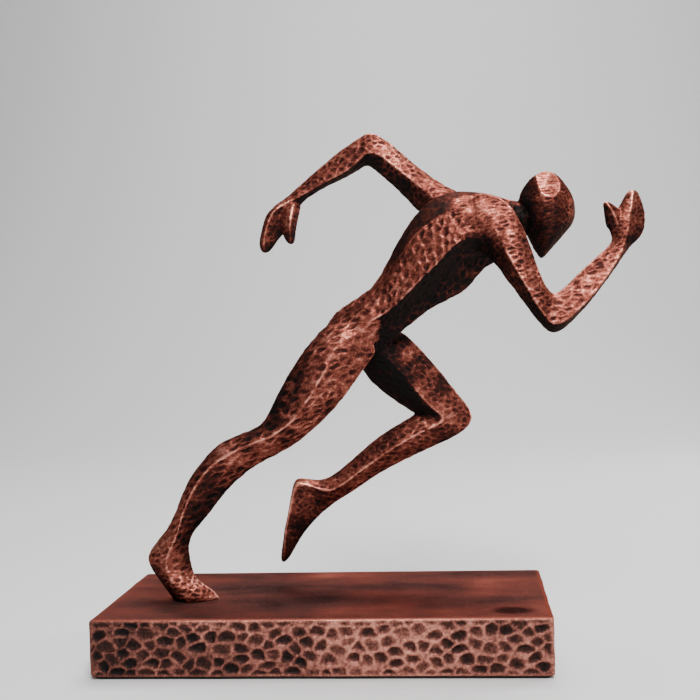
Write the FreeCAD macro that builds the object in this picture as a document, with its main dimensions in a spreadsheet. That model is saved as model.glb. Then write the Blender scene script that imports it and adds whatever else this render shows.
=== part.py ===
import FreeCAD, Part

# Figure trophy: a cast bronze sprinter on one foot, pinned and bolted to a hollow hammered plinth.
# Frame: millimetres, +Z up, the runner faces +X, the side that shows the right arm is -Y.
# The origin is the centre of the felt underside, where the trophy rests.
# Every sub-part is an object of one parametric document, driven by the spreadsheet "sizes".
import os
import Sketcher
from FreeCAD import Placement, Rotation, Vector

ACROSS = Vector(0, 1, 0)
# Sketcher's own numbers for the sketch origin, its axes and the points of an edge.
ORIGIN_POINT = (-1, 1)
HORIZONTAL_AXIS = -1
VERTICAL_AXIS = -2
START, END, CENTRE = 1, 2, 3
SIDES = (("right", -1), ("left", 1))

# Driving dimensions of the plinth and of the hardware, in millimetres.
SIZES = {
    "plinth_length": 220.0,
    "plinth_depth": 90.0,
    "plinth_height": 27.5,
    "plinth_wall": 4.0,
    "plinth_top": 5.0,
    "corner_round": 3.0,
    "edge_round": 1.2,
    "felt_thick": 1.2,
    "felt_inset": 1.5,
    "cover_thick": 2.0,
    "cover_lip": 2.4,
    "fit_gap": 0.2,
    "boss_radius": 4.5,
    "boss_inset": 12.0,
    "ballast_length": 172.0,
    "ballast_depth": 70.0,
    "ballast_thick": 13.0,
    "ballast_drop": 3.0,
    "ballast_screw_out": 55.0,
    "nut_window": 13.0,
    "cover_screw_length": 10.0,
    "cover_screw_radius": 1.5,
    "ballast_screw_length": 18.0,
    "ballast_screw_radius": 2.0,
    "stud_x": -73.5,
    "stud_y": -9.0,
    "stud_radius": 2.0,
    "stud_length": 46.0,
    "stud_tail": 12.0,
    "nut_across": 7.0,
    "nut_thick": 3.2,
    "washer_radius": 6.0,
    "washer_thick": 1.0,
    "foot_pin_x": -65.0,
    "foot_pin_radius": 1.0,
    "foot_pin_length": 8.0,
    "dowel_radius": 1.5,
    "dowel_fit": 0.05,
    "neck_dowel": 16.0,
    "shoulder_dowel": 15.0,
    "hip_dowel": 20.0,
    "facet_out": 0.76,
    "facet_back": 0.7,
    "shoulder_seat": 11.0,
    "shoulder_radius": 11.0,
    "yoke_radius": 9.5,
    "head_tall": 21.5,
    "head_long": 15.5,
    "head_wide": 13.0,
}

# Sections of the figure: centre x, y, z, the turn about Y in degrees that lays the section
# across the limb, and its half sizes, first in the XZ plane and then along Y.
STATIONS = {
    "hips": (20.0, 0.0, 164.0, 34.0, 15.5, 14.0),
    "waist": (33.0, 0.0, 173.0, 62.0, 13.5, 11.0),
    "ribs": (50.0, 0.0, 189.0, 52.0, 19.0, 15.0),
    "chest": (66.0, 0.0, 204.0, 58.0, 23.0, 17.0),
    "collar": (83.0, 0.0, 211.0, 84.0, 19.0, 16.0),
    "neck": (97.0, 0.0, 216.0, 75.0, 9.5, 8.0),
    "nape": (106.0, 0.0, 218.5, 75.0, 9.0, 7.5),
    "skull": (115.0, 0.0, 218.0, 9.0, 0.0, 0.0),
    "right_shoulder": (90.0, -18.0, 207.0, 118.0, 10.5, 9.0),
    "right_biceps": (103.0, -22.0, 187.0, 118.0, 8.5, 7.5),
    "right_elbow": (113.0, -24.0, 169.0, 91.0, 9.5, 6.5),
    "right_forearm": (131.0, -21.0, 182.0, 62.0, 7.0, 6.0),
    "right_wrist": (148.0, -16.0, 201.0, 28.0, 4.2, 3.6),
    "right_palm": (150.5, -14.0, 210.0, 26.0, 9.5, 4.5),
    "right_knuckles": (153.5, -13.0, 219.0, 6.0, 6.5, 4.0),
    "right_fingertip": (155.0, -13.0, 225.5, 2.0, 2.8, 2.4),
    "left_shoulder": (66.0, 18.0, 222.0, 150.0, 10.5, 9.0),
    "left_biceps": (45.0, 22.0, 241.0, 152.0, 8.4, 7.5),
    "left_elbow": (25.0, 24.0, 258.0, 100.0, 8.5, 6.5),
    "left_forearm": (10.0, 24.0, 250.0, 51.0, 7.0, 6.0),
    "left_wrist": (-15.5, 22.0, 231.5, 20.0, 4.0, 3.6),
    "left_palm": (-22.0, 21.0, 222.0, 7.0, 9.0, 4.5),
    "left_knuckles": (-25.0, 20.0, 212.5, 2.0, 8.6, 4.5),
    "left_fingertip": (-28.0, 20.0, 206.5, 2.0, 3.5, 3.0),
    "right_hip": (20.0, -7.0, 164.0, 34.0, 15.0, 7.0),
    "right_seat": (8.0, -9.5, 152.0, 32.0, 15.5, 9.0),
    "right_thigh": (-3.0, -10.0, 135.0, 30.0, 14.4, 9.5),
    "right_ham": (-14.5, -10.5, 120.0, 26.0, 12.0, 9.0),
    "right_knee": (-29.0, -11.0, 108.5, 42.0, 8.8, 8.0),
    "right_calf": (-50.0, -11.0, 96.5, 62.0, 9.8, 8.2),
    "right_shin": (-66.0, -10.0, 79.0, 67.0, 9.0, 7.5),
    "right_ankle": (-74.5, -9.0, 61.0, 48.0, 6.2, 5.5),
    "right_heel": (-80.0, -9.0, 50.0, 12.0, 9.8, 6.5),
    "right_arch": (-77.0, -9.0, 40.5, 14.0, 11.5, 7.0),
    "right_sole": (-69.5, -9.0, 28.7, 0.0, 10.0, 8.0),
    "left_hip": (20.0, 7.0, 164.0, 34.0, 15.0, 7.0),
    "left_groin": (27.0, 8.6, 155.5, 352.0, 15.0, 8.5),
    "left_thigh": (39.0, 11.5, 142.0, 320.0, 15.0, 9.2),
    "left_ham": (54.0, 14.0, 127.0, 327.0, 12.6, 9.0),
    "left_knee": (61.0, 15.0, 117.0, 5.0, 14.6, 8.2),
    "left_calf": (44.0, 14.5, 107.0, 48.0, 9.4, 8.2),
    "left_shin": (20.0, 14.0, 92.5, 58.0, 7.2, 6.8),
    "left_ankle": (1.0, 14.0, 79.5, 48.0, 5.8, 5.4),
    "left_heel": (-9.0, 14.0, 77.0, 41.0, 10.6, 6.5),
    "left_arch": (-15.5, 14.0, 68.0, 43.0, 7.2, 6.8),
    "left_ball": (-20.0, 14.0, 57.5, 44.0, 4.6, 6.4),
    "left_toe": (-25.0, 14.0, 45.0, 30.0, 1.8, 3.4),
}
STATION_FIELDS = ("x", "y", "z", "turn", "wide", "deep")

# Each casting is one loft through its sections, in this order.
CASTINGS = {
    "torso": ("hips", "waist", "ribs", "chest", "collar", "neck"),
    "head": ("neck", "nape"),
    "right_arm": (
        "right_shoulder", "right_biceps", "right_elbow", "right_forearm",
        "right_wrist", "right_palm", "right_knuckles", "right_fingertip",
    ),
    "left_arm": (
        "left_shoulder", "left_biceps", "left_elbow", "left_forearm",
        "left_wrist", "left_palm", "left_knuckles", "left_fingertip",
    ),
    "right_leg": (
        "right_hip", "right_seat", "right_thigh", "right_ham", "right_knee", "right_calf",
        "right_shin", "right_ankle", "right_heel", "right_arch", "right_sole",
    ),
    "left_leg": (
        "left_hip", "left_groin", "left_thigh", "left_ham", "left_knee", "left_calf",
        "left_shin", "left_ankle", "left_heel", "left_arch", "left_ball", "left_toe",
    ),
}

# Expressions that several pieces share.
COVER_OUT = "@plinth_length / 2 - @boss_inset"
COVER_BACK = "@plinth_depth / 2 - @boss_inset"
BALLAST_TOP = "@felt_thick + @plinth_height - @plinth_top - @ballast_drop"

doc = FreeCAD.newDocument("figure_trophy")
sheet = doc.addObject("Spreadsheet::Sheet", "sizes")
parts = {}


def fill_sheet():
    """Write every driving dimension as a plain number with its alias."""
    row = 1
    cells = dict(SIZES)
    for name, values in STATIONS.items():
        for field, value in zip(STATION_FIELDS, values):
            cells[name + "_" + field] = value
    for alias, value in cells.items():
        sheet.set("A%d" % row, alias)
        sheet.set("B%d" % row, str(value))
        sheet.setAlias("B%d" % row, alias)
        row += 1
    doc.recompute()


def size(alias):
    return float(sheet.get(alias))


def bind(thing, **expressions):
    """Bind properties to expressions; bare aliases are written with a leading @."""
    for prop, expression in expressions.items():
        thing.setExpression(prop.replace("__", "."), expression.replace("@", "sizes."))


def keep(label, thing):
    """Give a finished sub-part its label and remember it for export."""
    thing.Label = label
    parts[label] = thing
    return thing


def new_body(label):
    return keep(label, doc.addObject("PartDesign::Body", label + "_body"))


def origin_plane(body, role="XY_Plane"):
    for feature in body.Origin.OriginFeatures:
        if feature.Role == role:
            return feature
    raise RuntimeError("no plane " + role)


def level_sketch(body, name, height="0", x="0", y="0"):
    """A sketch parallel to the base plane, at a bound height and centre."""
    sketch = body.newObject("Sketcher::SketchObject", name)
    sketch.AttachmentSupport = [(origin_plane(body), "")]
    sketch.MapMode = "FlatFace"
    bind(sketch, AttachmentOffset__Base__z=height)
    bind(sketch, AttachmentOffset__Base__x=x, AttachmentOffset__Base__y=y)
    return sketch


def constrain(sketch, kind, *values, rule=None):
    index = sketch.addConstraint(Sketcher.Constraint(kind, *values))
    if rule:
        sketch.setExpression("Constraints[%d]" % index, rule.replace("@", "sizes."))
    return index


def draw_rectangle(sketch, length, depth):
    """A rectangle centred on the sketch origin, with bound sides."""
    half = 10.0
    corners = [Vector(-half, -half, 0), Vector(half, -half, 0), Vector(half, half, 0), Vector(-half, half, 0)]
    for index in range(4):
        sketch.addGeometry(Part.LineSegment(corners[index], corners[(index + 1) % 4]))
    for index in range(4):
        constrain(sketch, "Coincident", index, END, (index + 1) % 4, START)
    constrain(sketch, "Horizontal", 0)
    constrain(sketch, "Horizontal", 2)
    constrain(sketch, "Vertical", 1)
    constrain(sketch, "Vertical", 3)
    constrain(sketch, "Symmetric", 0, START, 2, START, *ORIGIN_POINT)
    constrain(sketch, "DistanceX", 0, START, 0, END, 2 * half, rule=length)
    constrain(sketch, "DistanceY", 1, START, 1, END, 2 * half, rule=depth)


def draw_circle(sketch, radius):
    """A circle on the sketch origin."""
    circle = sketch.addGeometry(Part.Circle(Vector(0, 0, 0), Vector(0, 0, 1), 5.0))
    constrain(sketch, "Coincident", circle, CENTRE, *ORIGIN_POINT)
    constrain(sketch, "Radius", circle, 5.0, rule=radius)


def draw_mirrored_circles(sketch, out, back, radius):
    """Two circles at +-out on the X axis, or four at the corners when back is given."""
    signs = [(1, 1), (-1, 1)]
    if back:
        signs += [(1, -1), (-1, -1)]
    for sign_x, sign_y in signs:
        sketch.addGeometry(Part.Circle(Vector(40 * sign_x, 20 * sign_y, 0), Vector(0, 0, 1), 5.0))
    constrain(sketch, "DistanceX", *ORIGIN_POINT, 0, CENTRE, 40.0, rule=out)
    constrain(sketch, "Symmetric", 0, CENTRE, 1, CENTRE, VERTICAL_AXIS)
    if back:
        constrain(sketch, "DistanceY", *ORIGIN_POINT, 0, CENTRE, 20.0, rule=back)
        constrain(sketch, "Symmetric", 0, CENTRE, 2, CENTRE, HORIZONTAL_AXIS)
        constrain(sketch, "Symmetric", 0, CENTRE, 3, CENTRE, *ORIGIN_POINT)
    else:
        constrain(sketch, "PointOnObject", 0, CENTRE, HORIZONTAL_AXIS)
    constrain(sketch, "Radius", 0, 5.0, rule=radius)
    for index in range(1, len(signs)):
        constrain(sketch, "Equal", 0, index)


def pad(body, sketch, length, down=False):
    feature = body.newObject("PartDesign::Pad", sketch.Name + "_pad")
    feature.Profile = sketch
    feature.Reversed = down
    bind(feature, Length=length)
    return feature


def pocket(body, sketch, length, up=True):
    """Cut a sketch upwards (or downwards) by a bound depth, and check that it cut something."""
    doc.recompute()
    before = body.Shape.Volume
    feature = body.newObject("PartDesign::Pocket", sketch.Name + "_cut")
    feature.Profile = sketch
    feature.Reversed = up
    bind(feature, Length=length)
    doc.recompute()
    if body.Shape.Volume > before - 1e-3:
        raise RuntimeError(sketch.Name + " cuts nothing")
    return feature


def edges_where(shape, test):
    return ["Edge%d" % (index + 1) for index, edge in enumerate(shape.Edges) if test(edge)]


def is_vertical(edge):
    first, last = edge.Vertexes[0].Point, edge.Vertexes[-1].Point
    return abs(first.x - last.x) < 1e-6 and abs(first.y - last.y) < 1e-6 and abs(first.z - last.z) > 1e-3


def round_edges(body, names, radius):
    base = body.Tip
    feature = body.newObject("PartDesign::Fillet", body.Name + "_round")
    feature.Base = (base, names)
    bind(feature, Radius=radius)
    doc.recompute()
    return feature


def draw_facets(sketch, wide, deep):
    """An eight-sided section with ridges on both axes and its corners drawn in."""
    corners = [(12, 0), (9, 4), (0, 6), (-9, 4), (-12, 0), (-9, -4), (0, -6), (9, -4)]
    points = [Vector(x, y, 0) for x, y in corners]
    for index in range(8):
        sketch.addGeometry(Part.LineSegment(points[index], points[(index + 1) % 8]))
    for index in range(8):
        constrain(sketch, "Coincident", index, END, (index + 1) % 8, START)
    constrain(sketch, "PointOnObject", 0, START, HORIZONTAL_AXIS)
    constrain(sketch, "PointOnObject", 2, START, VERTICAL_AXIS)
    constrain(sketch, "Symmetric", 0, START, 4, START, VERTICAL_AXIS)
    constrain(sketch, "Symmetric", 2, START, 6, START, HORIZONTAL_AXIS)
    constrain(sketch, "Symmetric", 1, START, 3, START, VERTICAL_AXIS)
    constrain(sketch, "Symmetric", 1, START, 7, START, HORIZONTAL_AXIS)
    constrain(sketch, "Symmetric", 1, START, 5, START, *ORIGIN_POINT)
    constrain(sketch, "DistanceX", *ORIGIN_POINT, 0, START, 12.0, rule=wide)
    constrain(sketch, "DistanceY", *ORIGIN_POINT, 2, START, 6.0, rule=deep)
    constrain(sketch, "DistanceX", *ORIGIN_POINT, 1, START, 9.0, rule="@facet_out * " + wide)
    constrain(sketch, "DistanceY", *ORIGIN_POINT, 1, START, 4.0, rule="@facet_back * " + deep)


def station_frame(name):
    """The frame of one section: its Z axis runs along the limb."""
    place = Vector(size(name + "_x"), size(name + "_y"), size(name + "_z"))
    return Placement(place, Rotation(ACROSS, size(name + "_turn")))


def station_sketch(body, name):
    """One section of a casting, laid across the limb."""
    sketch = body.newObject("Sketcher::SketchObject", body.Label + "_" + name)
    sketch.AttachmentSupport = [(origin_plane(body), "")]
    sketch.MapMode = "FlatFace"
    sketch.AttachmentOffset = station_frame(name)
    for axis in "xyz":
        sketch.setExpression("AttachmentOffset.Base." + axis, "sizes.%s_%s" % (name, axis))
    sketch.setExpression("AttachmentOffset.Rotation.Angle", "sizes.%s_turn" % name)
    draw_facets(sketch, "@%s_wide" % name, "@%s_deep" % name)
    return sketch


def add_loft(body):
    """The casting's solid: flat-sided lengths hewn from section to section."""
    sketches = [station_sketch(body, name) for name in CASTINGS[body.Label]]
    doc.recompute()
    loft = body.newObject("PartDesign::AdditiveLoft", body.Label + "_loft")
    loft.Profile = sketches[0]
    loft.Sections = sketches[1:]
    loft.Ruled = True
    doc.recompute()


def drill(body, length, frame, radius="@dowel_radius"):
    """Cut a round socket, a little larger than its pin, centred on the frame's origin along its Z."""
    before = body.Shape.Volume
    hole = fixed_feature(body, "SubtractiveCylinder", body.Label + "_socket", frame)
    bind(hole, Radius=radius + " + @dowel_fit", Height=length + " + @fit_gap")
    doc.recompute()
    middle = Placement(Vector(0, 0, -hole.Height.Value / 2), Rotation())
    hole.AttachmentOffset = frame.multiply(middle)
    doc.recompute()
    if body.Shape.Volume > before - 1e-3:
        raise RuntimeError("a socket of %s cuts nothing" % body.Label)


def dowel(label, radius, length, frame):
    """A steel pin with its middle on the frame's origin."""
    body = new_body(label)
    pin = body.newObject("PartDesign::AdditiveCylinder", label + "_rod")
    bind(pin, Radius=radius, Height=length)
    doc.recompute()
    ends = edges_where(pin.Shape, lambda edge: edge.Closed)
    bevel = body.newObject("PartDesign::Chamfer", label + "_bevel")
    bevel.Base = (pin, ends)
    bevel.Size = 0.3
    middle = Placement(Vector(0, 0, -pin.Height.Value / 2), Rotation())
    body.Placement = frame.multiply(middle)
    doc.recompute()


def shoulder_frame(side, sign):
    """Where a shoulder dowel crosses its seat: the pin runs along Y."""
    place = Vector(size(side + "_shoulder_x"), sign * size("shoulder_seat"), size(side + "_shoulder_z"))
    return Placement(place, Rotation(Vector(1, 0, 0), -90.0))


def fixed_feature(body, kind, name, frame):
    """A PartDesign primitive placed in the body's own frame."""
    feature = body.newObject("PartDesign::" + kind, name)
    feature.AttachmentSupport = [(origin_plane(body), "")]
    feature.MapMode = "FlatFace"
    feature.AttachmentOffset = frame
    return feature


def cut_seat(body, side, sign, outward):
    """Cut a block away beside the shoulder, so that the arm and the torso meet on one plane."""
    before = body.Shape.Volume
    seat = size("shoulder_seat")
    span = 2 * size("shoulder_radius") + 6.0
    low, high = sorted((sign * seat, sign * (seat + span) if outward else sign * (seat - span)))
    corner = Vector(size(side + "_shoulder_x") - span / 2, low, size(side + "_shoulder_z") - span / 2)
    block = fixed_feature(body, "SubtractiveBox", side + "_seat_block", Placement(corner, Rotation()))
    block.Length = span
    block.Width = high - low
    block.Height = span
    doc.recompute()
    if body.Shape.Volume > before - 1e-3:
        raise RuntimeError("a shoulder seat cuts nothing")


def make_torso():
    """Hips to neck, with a round yoke that joins the forward right shoulder to the raised left one."""
    body = new_body("torso")
    add_loft(body)
    right = station_frame("right_shoulder").Base
    left = station_frame("left_shoulder").Base
    span = left.sub(right)
    frame = Placement(right, Rotation(Vector(0, 0, 1), span))
    yoke = fixed_feature(body, "AdditiveCylinder", "shoulder_yoke", frame)
    bind(yoke, Radius="@yoke_radius")
    yoke.Height = span.Length
    doc.recompute()
    for side, sign in SIDES:
        cut_seat(body, side, sign, outward=True)
        drill(body, "@shoulder_dowel", shoulder_frame(side, sign))
        drill(body, "@hip_dowel", station_frame(side + "_hip"))
    drill(body, "@neck_dowel", station_frame("neck"))


def make_head():
    body = new_body("head")
    add_loft(body)
    skull = fixed_feature(body, "AdditiveEllipsoid", "skull", station_frame("skull"))
    bind(skull, Radius1="@head_tall", Radius2="@head_long", Radius3="@head_wide")
    doc.recompute()
    drill(body, "@neck_dowel", station_frame("neck"))


def make_arm(side, sign):
    body = new_body(side + "_arm")
    add_loft(body)
    ball = fixed_feature(body, "AdditiveSphere", side + "_deltoid", station_frame(side + "_shoulder"))
    bind(ball, Radius="@shoulder_radius")
    doc.recompute()
    cut_seat(body, side, sign, outward=False)
    drill(body, "@shoulder_dowel", shoulder_frame(side, sign))


def make_right_leg():
    """The standing leg, with a threaded hole for the stud and a blind hole for the locating pin."""
    body = new_body("right_leg")
    add_loft(body)
    drill(body, "@hip_dowel", station_frame("right_hip"))
    drill(body, "@stud_length", stud_frame(), "@stud_radius")
    drill(body, "@foot_pin_length", foot_pin_frame(), "@foot_pin_radius")


def make_left_leg():
    body = new_body("left_leg")
    add_loft(body)
    drill(body, "@hip_dowel", station_frame("left_hip"))


def plinth_top():
    return size("felt_thick") + size("plinth_height")


def stud_frame():
    """The middle of the mounting stud: its tail hangs below the plinth's top plate."""
    low = plinth_top() - size("plinth_top") - size("stud_tail")
    return Placement(Vector(size("stud_x"), size("stud_y"), low + size("stud_length") / 2), Rotation())


def foot_pin_frame():
    place = Vector(size("foot_pin_x"), size("stud_y"), plinth_top())
    return Placement(place, Rotation())


def make_plinth_shell():
    """The hollow hammered plinth: open below, with bosses for the ballast and the cover."""
    body = new_body("plinth_shell")
    outer = level_sketch(body, "plinth_outline", "@felt_thick")
    draw_rectangle(outer, "@plinth_length", "@plinth_depth")
    pad(body, outer, "@plinth_height")
    doc.recompute()
    round_edges(body, edges_where(body.Shape, is_vertical), "@corner_round")
    rim = edges_where(body.Shape, lambda edge: not is_vertical(edge))
    round_edges(body, rim, "@edge_round")
    cavity = level_sketch(body, "plinth_cavity", "@felt_thick")
    draw_rectangle(cavity, "@plinth_length - 2 * @plinth_wall", "@plinth_depth - 2 * @plinth_wall")
    pocket(body, cavity, "@plinth_height - @plinth_top")
    recess = level_sketch(body, "cover_recess", "@felt_thick")
    draw_rectangle(recess, "@plinth_length - 2 * @cover_lip", "@plinth_depth - 2 * @cover_lip")
    pocket(body, recess, "@cover_thick")
    corners = level_sketch(body, "cover_bosses", "@felt_thick + @cover_thick")
    draw_mirrored_circles(corners, COVER_OUT, COVER_BACK, "@boss_radius")
    pad(body, corners, "@plinth_height - @plinth_top - @cover_thick")
    feet = level_sketch(body, "ballast_bosses", BALLAST_TOP)
    draw_mirrored_circles(feet, "@ballast_screw_out", None, "@boss_radius")
    pad(body, feet, "@ballast_drop")
    doc.recompute()
    threads = level_sketch(body, "cover_threads", "@felt_thick + @cover_thick")
    draw_mirrored_circles(threads, COVER_OUT, COVER_BACK, "@cover_screw_radius")
    pocket(body, threads, "@cover_screw_length")
    taps = level_sketch(body, "ballast_threads", BALLAST_TOP)
    draw_mirrored_circles(taps, "@ballast_screw_out", None, "@ballast_screw_radius")
    pocket(body, taps, "@ballast_drop + @plinth_top / 2")
    drill(body, "@plinth_height", stud_frame(), "@stud_radius")
    drill(body, "@foot_pin_length", foot_pin_frame(), "@foot_pin_radius")


def make_ballast_plate():
    """A steel plate that weights the plinth, with a window round the nut of the stud."""
    body = new_body("ballast_plate")
    outline = level_sketch(body, "ballast_outline", BALLAST_TOP + " - @ballast_thick")
    draw_rectangle(outline, "@ballast_length", "@ballast_depth")
    pad(body, outline, "@ballast_thick")
    doc.recompute()
    round_edges(body, edges_where(body.Shape, is_vertical), "@corner_round")
    window = level_sketch(body, "nut_window", BALLAST_TOP + " - @ballast_thick", "@stud_x", "@stud_y")
    draw_circle(window, "@nut_window")
    pocket(body, window, "@ballast_thick")
    passages = level_sketch(body, "ballast_passages", BALLAST_TOP + " - @ballast_thick")
    draw_mirrored_circles(passages, "@ballast_screw_out", None, "@ballast_screw_radius + @fit_gap")
    pocket(body, passages, "@ballast_thick")


def make_bottom_cover():
    body = new_body("bottom_cover")
    outline = level_sketch(body, "cover_outline", "@felt_thick")
    inset = "2 * (@cover_lip + @fit_gap)"
    draw_rectangle(outline, "@plinth_length - " + inset, "@plinth_depth - " + inset)
    pad(body, outline, "@cover_thick")
    doc.recompute()
    round_edges(body, edges_where(body.Shape, is_vertical), "@fit_gap")
    heads = level_sketch(body, "cover_holes", "@felt_thick")
    draw_mirrored_circles(heads, COVER_OUT, COVER_BACK, "2 * @cover_screw_radius + @fit_gap")
    pocket(body, heads, "@cover_thick")


def make_felt_base():
    body = new_body("felt_base")
    outline = level_sketch(body, "felt_outline")
    draw_rectangle(outline, "@plinth_length - 2 * @felt_inset", "@plinth_depth - 2 * @felt_inset")
    pad(body, outline, "@felt_thick")
    doc.recompute()
    round_edges(body, edges_where(body.Shape, is_vertical), "@corner_round")


def make_screws(label, places, radius, length, head_thick, head_base):
    """A group of cap screws, each one solid: a head below and a shank above it."""
    screws = []
    for number, (place_x, place_y) in enumerate(places):
        head = doc.addObject("Part::Cylinder", "%s_head_%d" % (label, number))
        bind(head, Radius="2 * " + radius, Height=head_thick)
        bind(head, Placement__Base__z=head_base)
        shank = doc.addObject("Part::Cylinder", "%s_shank_%d" % (label, number))
        bind(shank, Radius=radius, Height=length)
        bind(shank, Placement__Base__z="%s + %s" % (head_base, head_thick))
        for piece in (head, shank):
            bind(piece, Placement__Base__x=place_x, Placement__Base__y=place_y)
        screw = doc.addObject("Part::MultiFuse", "%s_%d" % (label, number))
        screw.Shapes = [head, shank]
        screws.append(screw)
    group = doc.addObject("Part::Compound", label + "_group")
    group.Links = screws
    keep(label, group)


def make_stud():
    """The threaded rod that runs up inside the standing foot and down through the plinth."""
    dowel("mounting_stud", "@stud_radius", "@stud_length", stud_frame())


def make_stud_hardware():
    washer_base = "@felt_thick + @plinth_height - @plinth_top - @washer_thick"
    nut_base = washer_base + " - @nut_thick"
    blank = doc.addObject("Part::Cylinder", "washer_blank")
    bind(blank, Radius="@washer_radius", Height="@washer_thick", Placement__Base__z=washer_base)
    prism = doc.addObject("Part::Prism", "nut_blank")
    prism.Polygon = 6
    bind(prism, Circumradius="@nut_across / 3 ^ 0.5", Height="@nut_thick", Placement__Base__z=nut_base)
    for label, solid in (("stud_washer", blank), ("stud_nut", prism)):
        bore = doc.addObject("Part::Cylinder", label + "_bore")
        bind(bore, Radius="@stud_radius + @dowel_fit", Height="@plinth_height")
        for piece in (solid, bore):
            bind(piece, Placement__Base__x="@stud_x", Placement__Base__y="@stud_y")
        ring = doc.addObject("Part::Cut", label + "_ring")
        ring.Base = solid
        ring.Tool = bore
        keep(label, ring)


def make_dowels():
    dowel("neck_dowel", "@dowel_radius", "@neck_dowel", station_frame("neck"))
    for side, sign in SIDES:
        dowel(side + "_shoulder_dowel", "@dowel_radius", "@shoulder_dowel", shoulder_frame(side, sign))
        dowel(side + "_hip_dowel", "@dowel_radius", "@hip_dowel", station_frame(side + "_hip"))
    dowel("foot_pin", "@foot_pin_radius", "@foot_pin_length", foot_pin_frame())


def check_document():
    """Stop if any object failed or any sub-part is null, invalid or empty."""
    for thing in doc.Objects:
        if "Invalid" in thing.State or "Error" in thing.State:
            raise RuntimeError(thing.Label + " failed")
    for label, thing in parts.items():
        shape = thing.Shape
        if shape.isNull() or not shape.isValid() or not shape.Solids:
            raise RuntimeError(label + " has no valid solid")


def write_parts():
    os.makedirs("parts", exist_ok=True)
    for label, thing in parts.items():
        thing.Shape.exportStep("parts/%s.step" % label)
        box = thing.Shape.BoundBox
        print("%-22s solids %d  volume %8.0f  x %.1f..%.1f  y %.1f..%.1f  z %.1f..%.1f" % (
            label, len(thing.Shape.Solids), thing.Shape.Volume,
            box.XMin, box.XMax, box.YMin, box.YMax, box.ZMin, box.ZMax))


fill_sheet()
make_plinth_shell()
make_ballast_plate()
make_bottom_cover()
make_felt_base()
make_screws(
    "ballast_screws",
    [("@ballast_screw_out", "0"), ("-@ballast_screw_out", "0")],
    "@ballast_screw_radius", "@ballast_screw_length - 2", "2", BALLAST_TOP + " - @ballast_thick - 2",
)
make_screws(
    "cover_screws",
    [(x + "(" + COVER_OUT + ")", y + "(" + COVER_BACK + ")") for x in ("", "-") for y in ("", "-")],
    "@cover_screw_radius", "@cover_screw_length - 1", "@cover_thick - @fit_gap", "@felt_thick + @fit_gap",
)
make_stud()
make_stud_hardware()
make_dowels()
make_torso()
make_head()
for side, sign in SIDES:
    make_arm(side, sign)
make_right_leg()
make_left_leg()
doc.recompute()
check_document()
write_parts()
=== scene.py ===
import math

import bmesh
import bpy
import numpy as np
from bpy.props import FloatProperty, FloatVectorProperty, IntProperty, PointerProperty
from mathutils import Matrix, Vector
from mathutils.kdtree import KDTree


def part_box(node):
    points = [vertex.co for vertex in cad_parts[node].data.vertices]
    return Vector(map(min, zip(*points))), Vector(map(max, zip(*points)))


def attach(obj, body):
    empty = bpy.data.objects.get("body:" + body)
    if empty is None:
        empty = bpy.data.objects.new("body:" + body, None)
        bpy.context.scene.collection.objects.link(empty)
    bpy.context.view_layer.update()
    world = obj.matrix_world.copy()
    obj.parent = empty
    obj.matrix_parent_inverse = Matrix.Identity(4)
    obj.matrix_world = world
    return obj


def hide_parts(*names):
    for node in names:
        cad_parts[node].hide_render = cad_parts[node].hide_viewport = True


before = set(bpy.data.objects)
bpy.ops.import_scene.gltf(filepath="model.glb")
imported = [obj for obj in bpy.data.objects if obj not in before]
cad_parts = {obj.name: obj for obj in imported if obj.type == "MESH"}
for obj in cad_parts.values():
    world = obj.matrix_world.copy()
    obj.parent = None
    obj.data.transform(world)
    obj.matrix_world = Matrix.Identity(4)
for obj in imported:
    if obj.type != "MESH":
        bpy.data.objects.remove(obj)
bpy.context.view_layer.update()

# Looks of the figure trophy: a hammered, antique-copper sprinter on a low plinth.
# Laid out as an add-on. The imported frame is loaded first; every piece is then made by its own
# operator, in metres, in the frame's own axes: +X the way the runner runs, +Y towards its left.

bl_info = {
    "name": "Figure Trophy",
    "version": (1, 0, 0),
    "blender": (4, 5, 0),
    "location": "3D View > Sidebar > Trophy",
    "description": "Hammered runner on a plinth, around a packed frame",
    "category": "Object",
}

MM = 0.001
# A face with more corners than this is a flat cap and not skin.
SKIN_CORNERS = 8
# How deep the small dents between the large ones go, as shares; below 0 they stand up.
SMALL_DENTS = (-0.1, 0.5)
# The dark oval stain on the plinth's top: its middle and its half length and half width.
STAIN_PLACE = (92.0 * MM, -33.0 * MM)
STAIN_SIZE = (12.0 * MM, 7.0 * MM)
# Patches of painted light and shade: middle, radius and how much; below 0 a painted shadow at the neck under
# the head, above 0 a painted highlight on the hip, head and hand that goes into the worn colour.
PATCHES = (
    ((101, -6, 219), 11, -0.75), ((6, -17, 166), 18, 0.35), ((113, -10, 237), 13, 0.3),
    ((112, -13, 224), 10, 0.1), ((150, -18, 211), 10, 0.14),
)
# The ledge that the bottom cover lies on, how high the cavity goes above it, and the pad's corners.
LEDGE = 1.4 * MM
CAVITY_RISE = 20.5 * MM
FELT_CORNER = 3.0 * MM
BODY = "root"

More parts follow.
